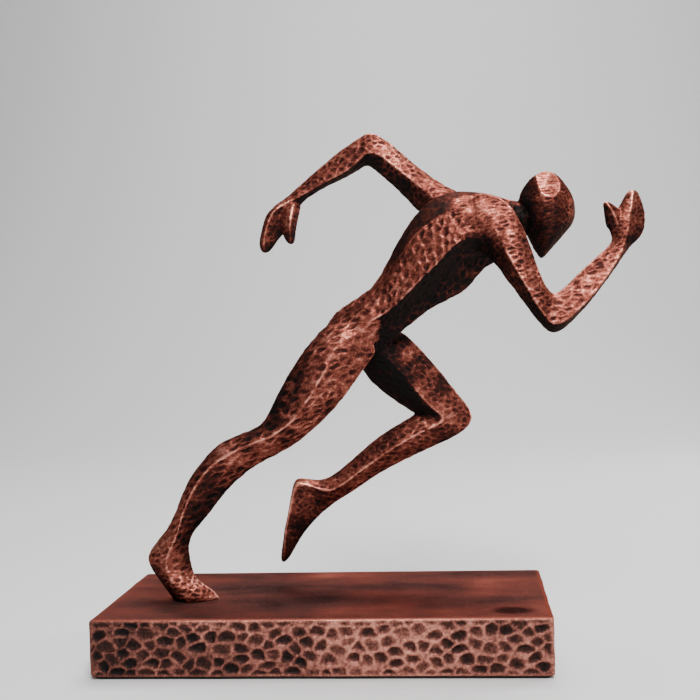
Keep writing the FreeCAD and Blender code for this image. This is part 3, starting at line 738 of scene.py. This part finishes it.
def ease_joints(mesh, pairs):
    """Blend the limbs into the trunk by smoothing the skin round each joint."""
    points = read(mesh.vertices, "co")
    for place, radius, turns in JOINT_BLENDS:
        gap = np.linalg.norm(points - np.array(place) * MM, axis=1) / (radius * MM)
        inside = gap < 1.1
        local = np.full(len(points), -1)
        local[inside] = np.arange(inside.sum())
        near = local[pairs[inside[pairs[:, 0]] & inside[pairs[:, 1]]]]
        patch = points[inside]
        share = (1.0 - smooth_step(0.5, 1.0, gap[inside]))[:, None]
        for _ in range(turns):
            patch += (neighbour_mean(patch, near, len(patch)) - patch) * share
        points[inside] = patch
    write_coordinates(mesh, points)


def plane_head(mesh):
    """Plane the flats on the head."""
    points = read(mesh.vertices, "co")
    head = is_limb("head", sort_by_limb(points)[0])
    for direction, distance in HEAD_FLATS:
        for side in (1, -1):
            facing = np.array(direction) * (1, side, 1)
            facing /= np.linalg.norm(facing)
            proud = (points - np.array(HEAD_MIDDLE) * MM) @ facing - distance * MM
            shave = np.where(head, np.clip(proud, 0.0, 3.0 * MM), 0.0)
            points -= 0.85 * shave[:, None] * facing
    write_coordinates(mesh, points)


def dent_figure(figure):
    """Hammer the whole figure and store how hollow and how worn every place is, and its painted light and
    shade.
    """
    mesh = figure.data
    pairs = read(mesh.edges, "vertices", 2, np.int64)
    ease_joints(mesh, pairs)
    plane_head(mesh)
    points = read(mesh.vertices, "co")
    normal = read(mesh.vertex_normals, "vector")
    count = len(points)
    limb, along = sort_by_limb(points)
    smooth = neighbour_mean(points, pairs, count, 6)
    crest = np.einsum("ij,ij->i", points - smooth, normal) / MM
    ridge = spread(smooth_step(0.03, 0.08, crest), pairs, count, 4)
    drop = np.zeros(count)
    depth = np.zeros(count)
    for number, name in enumerate(LIMBS):
        share = spread((limb == number).astype(float), pairs, count, 8)
        inside = np.flatnonzero(share > 0.01)
        spacing, deep, stretch, direction = LIMBS[name][2:]
        fine = np.ones(len(inside))
        if name in EXTREMITIES:
            start, finer = EXTREMITIES[name]
            fine -= (1.0 - finer) * smooth_step(start - 0.05, start + 0.05, along[inside])
        lay = np.array(direction, dtype=float)
        lay /= np.linalg.norm(lay)
        lift = wave_noise(points[inside], 0.006, seed=60) * 0.5 * MM
        local = points[inside] + normal[inside] * lift[:, None]
        local += crossing_waves(local, 0.007, seed=61) * 0.55 * MM
        local -= (local @ lay)[:, None] * lay * (1.0 - 1.0 / stretch)
        large = hammered(local, spacing * MM * fine, 7 + number, 0.55, 31 + number, (0.35, 1.2))
        small = hammered(local, 0.55 * spacing * MM * fine, 80 + number, 0.5, 90 + number, SMALL_DENTS)
        drop[inside] += share[inside] * (large + 0.5 * small)
        depth[inside] += share[inside] * deep * MM * fine
    drop = spread(drop, pairs, count, 1)
    waist = smooth_step(0.22, 0.5, along + 0.1 * wave_noise(points, 0.02, seed=19))
    back = waist * smooth_step(0.5, 0.74, normal @ np.array((-0.5, 0.0, 0.86)))
    quiet = spread(np.where(limb == 0, back, 0.0), pairs, count, 10)
    drop *= 1.0 - 0.7 * quiet
    drop *= 1.0 - 0.75 * ridge
    border = np.where(limb == 0, smooth_step(0.5, 1.0, 4.0 * quiet * (1.0 - quiet)), 0.0)
    wobble = wave_noise(points, 0.009, seed=3) * 0.12 * MM
    moved = points + normal * (wobble - drop * depth)[:, None]
    write_coordinates(mesh, moved)
    smooth = neighbour_mean(moved, pairs, count, 3)
    rim = np.einsum("ij,ij->i", moved - smooth, normal) / MM
    broad = neighbour_mean(normal, pairs, count, 20)
    # Painted shade in the crotch, at the root of the raised thigh: less worn colour and less painted light
    # there.
    crotch_shade = along + 0.12 * wave_noise(points, 0.018, seed=23)
    crotch_shade = np.where(is_limb("left_leg", limb), 1.0 - smooth_step(0.1, 0.24, crotch_shade), 0.0)
    crotch_shade = spread(crotch_shade, pairs, count, 12)
    hand = (is_limb("right_arm", limb) & (along > 0.6)) | (is_limb("left_arm", limb) & (along > 0.6))
    hand |= is_limb("right_thumb", limb) | is_limb("left_thumb", limb)
    ridge *= np.where(hand, 0.6, 1.0)
    ridge *= 1.0 - 0.55 * crotch_shade
    # On the thighs the painted light also falls on faces turned forward and down.
    thigh = np.where(is_limb("right_leg", limb), 1.0 - smooth_step(0.34, 0.62, along), 0.0)
    raised = smooth_step(0.1, 0.26, along) * (1.0 - 0.85 * smooth_step(0.62, 0.7, along))
    thigh = np.where(is_limb("left_leg", limb), raised, thigh)
    thigh = spread(thigh, pairs, count, 12)
    # Painted light: faces turned up and to either side count as lit, faces turned down as shaded.
    rise = np.abs(broad) @ (0.0, 0.5, 0.0) + broad @ (-0.1, 0.0, 0.85)
    rise += thigh * (np.abs(broad) @ (0.0, 0.3, 0.0) + broad @ (0.35, 0.0, -0.7))
    # Painted shadow and painted highlight patches.
    patch = np.zeros(count)
    for place, radius, change in PATCHES:
        gap = np.linalg.norm(points - np.array(place) * MM, axis=1) / (radius * MM)
        patch += change * (1.0 - smooth_step(0.35, 1.0, gap))
    # Painted shade under the raised thigh and, in broken patches, on the back of the standing thigh.
    raised_thigh = is_limb("left_leg", limb) & (along < 0.4)
    under = smooth_step(0.0, 0.5, broad @ (-0.7, 0.0, -0.7)) * np.where(raised_thigh, 0.85, 0.0)
    rear = smooth_step(0.2, 0.6, broad @ (-0.85, 0.0, 0.4))
    rear *= np.where(is_limb("right_leg", limb), 0.6, 0.0)
    rear *= (1.0 - smooth_step(0.3, 0.42, along)) * smooth_step(0.08, 0.18, along)
    rear *= smooth_step(-0.6, 0.4, wave_noise(points, 0.008, seed=29))
    shade = spread(under + rear, pairs, count, 8)
    # Painted shade on the back of the head.
    nape_shade = np.where(is_limb("head", limb), smooth_step(0.1, 0.75, -broad[:, 0]), 0.0)
    # The painted light layer: light from how the faces turn, cut by the painted neck shadow, the crotch
    # shade and the painted shade on the thighs.
    painted_light = smooth_step(-0.55, 0.75, rise) * (1.0 + np.minimum(patch, 0.0))
    painted_light = painted_light * (1.0 - 0.6 * crotch_shade) * (1.0 - shade)
    write_layer(mesh, "hollow", np.clip(drop, 0.0, 1.0))
    broken = 0.74 + 0.26 * np.clip(wave_noise(points, 0.012, seed=17), -1.0, 1.0)
    ridge *= np.where(is_limb("head", limb), 0.35, 1.0) * broken
    wear = 1.05 * ridge + 0.6 * border * broken + smooth_step(0.02, 0.09, rim) * 0.32
    # The wear layer also takes the painted highlight patches.
    write_layer(mesh, "wear", np.clip(wear + np.maximum(patch, 0.0), 0.0, 1.2))
    # Painted shade on the torso's back plane, which also has fewer dents.
    write_layer(mesh, "painted_light_layer", painted_light * (1.0 - 0.55 * quiet) * (1.0 - 0.5 * nape_shade))


def cut_castings(figure):
    """Saw the figure through at its five joints and part it into its six castings."""
    make_active(figure)
    edit("FACE")
    for _, place, direction, radius in SAW_CUTS:
        bpy.ops.mesh.select_all(action="DESELECT")
        centre = Vector(place) * MM
        mesh = bmesh.from_edit_mesh(figure.data)
        for face in mesh.faces:
            face.select_set((face.calc_center_median() - centre).length < radius * MM)
        bpy.ops.mesh.bisect(plane_co=centre, plane_no=Vector(direction).normalized())
    bpy.ops.object.mode_set(mode="OBJECT")
    mesh = figure.data
    middles = read(mesh.polygons, "center")
    limb = sort_by_limb(middles)[0]
    castings = np.array([LIMBS[name][1] for name in LIMBS])[limb]
    for name, place, direction, radius in SAW_CUTS:
        centre = np.array(place) * MM
        beyond = (middles - centre) @ np.array(direction) > 0
        close = np.linalg.norm(middles - centre, axis=1) < radius * MM
        castings[(castings == name) & ~beyond] = "torso"
        castings[close & beyond] = name
    pieces = {}
    for name, *_ in SAW_CUTS:
        make_active(figure)
        bpy.ops.object.mode_set(mode="EDIT")
        bpy.ops.mesh.select_all(action="DESELECT")
        bpy.ops.object.mode_set(mode="OBJECT")
        figure.data.polygons.foreach_set("select", castings == name)
        bpy.ops.object.mode_set(mode="EDIT")
        bpy.ops.mesh.separate(type="SELECTED")
        bpy.ops.object.mode_set(mode="OBJECT")
        castings = castings[castings != name]
        pieces[name] = [item for item in bpy.context.selected_objects if item != figure][0]
    pieces["torso"] = figure
    for name, piece in pieces.items():
        piece.name = name + "_casting"
        close_cuts(piece)
    return pieces


def close_cuts(piece):
    """Cap the flat sawn faces."""
    make_active(piece)
    edit("EDGE")
    bpy.ops.mesh.select_non_manifold()
    bpy.ops.mesh.fill_holes(sides=0)
    mesh = bmesh.from_edit_mesh(piece.data)
    for face in mesh.faces:
        if len(face.verts) > SKIN_CORNERS:
            face.smooth = False
            for edge in face.edges:
                edge.smooth = False
    bpy.ops.object.mode_set(mode="OBJECT")


def colour_setting(name, description, default):
    return FloatVectorProperty(
        name=name, description=description, size=3, default=default, subtype="COLOR", min=0.0, max=1.0)


class TrophyLooks(bpy.types.PropertyGroup):
    """Sizes and colours of the trophy that a user may change."""

    voxel: FloatProperty(
        name="Skin detail", description="Size of the cells of the figure's skin",
        default=0.5 * MM, min=0.3 * MM, subtype="DISTANCE", unit="LENGTH")
    plinth_voxel: FloatProperty(
        name="Plinth detail", description="Size of the cells of the plinth's skin",
        default=0.8 * MM, min=0.3 * MM, subtype="DISTANCE", unit="LENGTH")
    rounding: IntProperty(
        name="Rounding", description="How many times the figure's skin is smoothed", default=4, min=0)
    hollow_colour: colour_setting("Hollows", "Dark patina in the dents", (0.008, 0.0075, 0.0075))
    brown_colour: colour_setting("Brown", "Patina between the dents", (0.056, 0.0145, 0.0115))
    copper_colour: colour_setting("Copper", "Copper showing through", (0.25, 0.066, 0.045))
    rubbed_colour: colour_setting("Rubbed", "Burnished ridges", (0.76, 0.32, 0.235))


class TROPHY_OT_figure(bpy.types.Operator):
    """Model the runner, hammer its skin and cut it into its six castings"""

    bl_idname = "trophy.figure"
    bl_label = "Runner"

    def execute(self, context):
        looks = context.scene.trophy_looks
        limbs = []
        for name, limb in LIMBS.items():
            creased = CREASED.get(name, EDGE_RIDGES)
            limbs.append(build_limb(name + "_cage", limb[0], creased, FACETS.get(name, PLAIN_FACETS)))
        for limb in limbs:
            apply_modifier(limb, "SUBSURF", "round", levels=3, render_levels=3)
        deselect_all()
        for limb in limbs:
            limb.select_set(True)
        bpy.context.view_layer.objects.active = limbs[0]
        bpy.ops.object.join()
        figure = bpy.context.active_object
        figure.name = "figure"
        apply_modifier(figure, "REMESH", "skin", mode="VOXEL", voxel_size=looks.voxel, adaptivity=0.0)
        apply_modifier(figure, "SMOOTH", "ease", factor=0.5, iterations=looks.rounding)
        dent_figure(figure)
        make_active(figure)
        bpy.ops.object.shade_smooth()
        patina = figure_patina(looks)
        for name, piece in cut_castings(figure).items():
            finish_piece(piece, [name], patina)
        return {"FINISHED"}


class TROPHY_OT_plinth(bpy.types.Operator):
    """Model the plinth: a rounded block with hammered sides"""

    bl_idname = "trophy.plinth"
    bl_label = "Plinth"

    def execute(self, context):
        looks = context.scene.trophy_looks
        low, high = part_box("plinth_shell")
        size = high - low
        deselect_all()
        bpy.ops.mesh.primitive_cube_add(size=1.0, location=(low + high) / 2, scale=size)
        plinth = bpy.context.active_object
        plinth.name = "plinth"
        bpy.ops.object.transform_apply(location=True, rotation=True, scale=True)
        apply_modifier(plinth, "BEVEL", "corner", width=1.4 * MM, segments=4, limit_method="NONE")
        apply_modifier(plinth, "REMESH", "skin", mode="VOXEL", voxel_size=looks.plinth_voxel, adaptivity=0.0)
        dent_plinth(plinth, low, high)
        hollow_out(plinth, low)
        make_active(plinth)
        bpy.ops.object.shade_smooth()
        finish_piece(plinth, ["plinth_shell"], plinth_patina(looks))
        return {"FINISHED"}


def hollow_out(plinth, low):
    """Open the underside: a rebate for the cover, then the cavity for the ballast."""
    cover_low, cover_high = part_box("bottom_cover")
    gap = 0.3 * MM
    make_active(plinth)
    edit("FACE")
    mesh = bmesh.from_edit_mesh(plinth.data)
    for face in mesh.faces:
        middle = face.calc_center_median()
        under = face.normal.z < -0.9 and middle.z < low.z + gap
        across = cover_low.x < middle.x < cover_high.x and cover_low.y < middle.y < cover_high.y
        face.select_set(under and across)
    bpy.ops.mesh.delete(type="FACE")
    bpy.ops.mesh.select_mode(type="EDGE")
    bpy.ops.mesh.select_all(action="DESELECT")
    bpy.ops.mesh.select_non_manifold()
    for rise, step_in in ((cover_high.z - low.z, 0.0), (0.0, LEDGE), (CAVITY_RISE, 0.0)):
        bpy.ops.mesh.extrude_edges_move(TRANSFORM_OT_translate={"value": (0, 0, rise)})
        mesh = bmesh.from_edit_mesh(plinth.data)
        for vertex in mesh.verts:
            if vertex.select and step_in:
                vertex.co.x *= 1.0 - step_in / cover_high.x
                vertex.co.y *= 1.0 - step_in / cover_high.y
    bpy.ops.mesh.edge_face_add()
    mesh = bmesh.from_edit_mesh(plinth.data)
    for face in mesh.faces:
        if len(face.verts) > SKIN_CORNERS:
            face.smooth = False
    finish_edit()


class TROPHY_OT_felt(bpy.types.Operator):
    """Cut the felt pad, with round corners and soft edges"""

    bl_idname = "trophy.felt"
    bl_label = "Felt pad"

    def execute(self, context):
        low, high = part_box("felt_base")
        size = high - low
        deselect_all()
        bpy.ops.mesh.primitive_plane_add(size=1.0, location=(0, 0, low.z))
        pad = bpy.context.active_object
        pad.name = "felt_pad"
        bpy.ops.transform.resize(value=(size.x, size.y, 1.0))
        bpy.ops.object.transform_apply(location=True, rotation=True, scale=True)
        bpy.ops.object.mode_set(mode="EDIT")
        bpy.ops.mesh.select_all(action="SELECT")
        bpy.ops.mesh.bevel(affect="VERTICES", offset=FELT_CORNER, segments=8)
        bpy.ops.mesh.select_all(action="SELECT")
        bpy.ops.mesh.extrude_region_move(TRANSFORM_OT_translate={"value": (0, 0, size.z)})
        finish_edit()
        apply_modifier(pad, "BEVEL", "edge", width=0.3 * MM, segments=3, limit_method="ANGLE",
                       angle_limit=math.radians(60))
        make_active(pad)
        bpy.ops.object.shade_smooth_by_angle(angle=math.radians(40))
        felt = mottled("felt", (0.006, 0.008, 0.007), (0.03, 0.034, 0.032), 0.95, 1500.0, 0.0003)
        finish_piece(pad, ["felt_base"], felt)
        return {"FINISHED"}


def dent_plinth(plinth, low, high):
    """Hammer the four sides, and store how hollow and how worn every place is and which are sides."""
    mesh = plinth.data
    points = read(mesh.vertices, "co")
    normal = read(mesh.vertex_normals, "vector")
    pairs = read(mesh.edges, "vertices", 2, np.int64)
    count = len(points)
    side = smooth_step(0.35, 0.8, np.hypot(normal[:, 0], normal[:, 1]))
    band = smooth_step(0.4 * MM, 2.4 * MM, points[:, 2] - low.z)
    band *= smooth_step(0.4 * MM, 2.6 * MM, high.z - points[:, 2])
    edge_x = np.minimum(points[:, 0] - low.x, high.x - points[:, 0])
    edge_y = np.minimum(points[:, 1] - low.y, high.y - points[:, 1])
    band *= smooth_step(0.6 * MM, 3.2 * MM, np.maximum(edge_x, edge_y))
    near = np.flatnonzero(side > 0.3)
    squashed = points * np.array((0.84, 0.84, 1.1))
    squashed += crossing_waves(points, 0.011, seed=41) * MM
    dent = np.zeros(count)
    spacing = np.full(len(near), 5.3 * MM)
    large = hammered(squashed[near], spacing, 21, 0.42, 5, (0.5, 1.25))
    small = hammered(squashed[near], 0.5 * spacing, 22, 0.5, 6, SMALL_DENTS)
    dent[near] = large + 0.5 * small - 0.04
    drop = dent * side * band
    wobble = wave_noise(points, 0.02, seed=9) * 0.2 * MM * side
    moved = points + normal * (wobble - drop * 1.25 * MM)[:, None]
    write_coordinates(mesh, moved)
    soft = neighbour_mean(moved, pairs, count, 4)
    curve = np.einsum("ij,ij->i", moved - soft, normal)
    write_layer(mesh, "hollow", np.clip(drop, 0.0, 1.0))
    write_layer(mesh, "wear", np.clip(curve / (0.08 * MM), 0.0, 1.0))
    write_layer(mesh, "side", side)


class TROPHY_OT_hardware(bpy.types.Operator):
    """Give the frame's own hidden and lower parts their finishes"""

    bl_idname = "trophy.hardware"
    bl_label = "Hardware"

    def execute(self, context):
        plated = steel("plated_steel", (0.62, 0.62, 0.64), 0.34, 400.0)
        ground = steel("ground_steel", (0.56, 0.56, 0.58), 0.28, 900.0)
        iron = mottled("rough_iron", (0.03, 0.028, 0.026), (0.11, 0.1, 0.095), 0.75, 300.0, 0.0005)
        paint = mottled("black_paint", (0.01, 0.01, 0.01), (0.03, 0.03, 0.03), 0.5, 700.0, 0.0001)
        finishes = {
            "ballast_plate": iron, "bottom_cover": paint,
            "ballast_screws": plated, "cover_screws": plated, "mounting_stud": plated,
            "stud_washer": plated, "stud_nut": plated,
        }
        for name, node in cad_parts.items():
            if node.hide_render:
                continue
            node.data.materials.clear()
            node.data.materials.append(finishes.get(name, ground))
        return {"FINISHED"}


class TROPHY_OT_stage(bpy.types.Operator):
    """Set up the floor, the soft lights and the camera"""

    bl_idname = "trophy.stage"
    bl_label = "Stage"

    def execute(self, context):
        deselect_all()
        bpy.ops.mesh.primitive_plane_add(size=4.0, location=(0, 0, 0))
        floor = bpy.context.active_object
        floor.name = "floor"
        edit("EDGE")
        sweep = bmesh.from_edit_mesh(floor.data)
        for edge in sweep.edges:
            edge.select_set(all(vertex.co.y > 1.0 for vertex in edge.verts))
        bpy.ops.mesh.extrude_region_move(TRANSFORM_OT_translate={"value": (0, 0, 3.0)})
        bpy.ops.mesh.select_all(action="DESELECT")
        sweep = bmesh.from_edit_mesh(floor.data)
        for edge in sweep.edges:
            edge.select_set(all(vertex.co.y > 1.0 and vertex.co.z < 1.0 for vertex in edge.verts))
        bpy.ops.mesh.bevel(offset=1.2, segments=16)
        bpy.ops.object.mode_set(mode="OBJECT")
        bpy.ops.object.shade_smooth()
        material, nodes = new_material("pale_floor")
        nodes.surface({"Base Color": (0.66, 0.655, 0.65, 1.0), "Roughness": 0.6})
        floor.data.materials.append(material)
        world = bpy.data.worlds.new("studio")
        context.scene.world = world
        world.use_nodes = True
        background = world.node_tree.nodes["Background"]
        background.inputs["Color"].default_value = (0.80, 0.82, 0.85, 1.0)
        background.inputs["Strength"].default_value = 0.2
        add_area("key", (0.22, -0.78, 1.02), (0.02, 0, 0.15), 0.42, 22.0)
        add_area("top", (0.15, 0.15, 1.2), (0.02, 0, 0.15), 0.5, 10.0)
        add_area("rim", (0.9, 0.5, 0.25), (0.05, 0, 0.15), 0.3, 7.0)
        add_area("wall", (0.0, 0.7, 1.6), (0.0, 1.9, 0.4), 1.0, 26.0)
        add_camera()
        return {"FINISHED"}


def add_area(name, place, target, size, power):
    """A round soft light that points at a target."""
    light = bpy.data.lights.new(name, "AREA")
    light.shape = "DISK"
    light.size = size
    light.energy = power
    lamp = bpy.data.objects.new(name, light)
    bpy.context.scene.collection.objects.link(lamp)
    lamp.location = place
    lamp.rotation_mode = "QUATERNION"
    lamp.rotation_quaternion = (Vector(target) - Vector(place)).to_track_quat("-Z", "Y")


def add_camera():
    """The standing viewpoint: half a metre away, a little above the runner's knee."""
    data = bpy.data.cameras.new("view")
    data.sensor_width = 36.0
    data.lens = 51.45
    data.shift_x = -0.05
    data.clip_start = 0.01
    camera = bpy.data.objects.new("view", data)
    bpy.context.scene.collection.objects.link(camera)
    yaw, pitch, roll = (math.radians(angle) for angle in (4.326, -1.572, 1.674))
    level = Matrix.Rotation(math.pi / 2, 4, "X")
    turn = Matrix.Rotation(yaw, 4, "Z") @ Matrix.Rotation(pitch, 4, "X")
    turn = turn @ Matrix.Rotation(roll, 4, "Y") @ level
    camera.matrix_world = Matrix.Translation(Vector((70.3, -505.0, 166.4)) * MM) @ turn
    bpy.context.scene.camera = camera


class TROPHY_PT_panel(bpy.types.Panel):
    """Lists the trophy's pieces in the sidebar"""

    bl_idname = "TROPHY_PT_panel"
    bl_label = "Figure Trophy"
    bl_space_type = "VIEW_3D"
    bl_region_type = "UI"
    bl_category = "Trophy"

    def draw(self, context):
        looks = context.scene.trophy_looks
        for name in looks.bl_rna.properties.keys():
            if name not in {"rna_type", "name"}:
                self.layout.prop(looks, name)
        for operator in OPERATORS:
            self.layout.operator(operator.bl_idname)


OPERATORS = (TROPHY_OT_stage, TROPHY_OT_figure, TROPHY_OT_plinth, TROPHY_OT_felt, TROPHY_OT_hardware)
CLASSES = (TrophyLooks, *OPERATORS, TROPHY_PT_panel)


def register():
    for item in CLASSES:
        bpy.utils.register_class(item)
    bpy.types.Scene.trophy_looks = PointerProperty(type=TrophyLooks)


def unregister():
    del bpy.types.Scene.trophy_looks
    for item in reversed(CLASSES):
        bpy.utils.unregister_class(item)


def main():
    register()
    bpy.ops.trophy.stage()
    bpy.ops.trophy.figure()
    bpy.ops.trophy.plinth()
    bpy.ops.trophy.felt()
    bpy.ops.trophy.hardware()


if __name__ == "__main__":
    main()
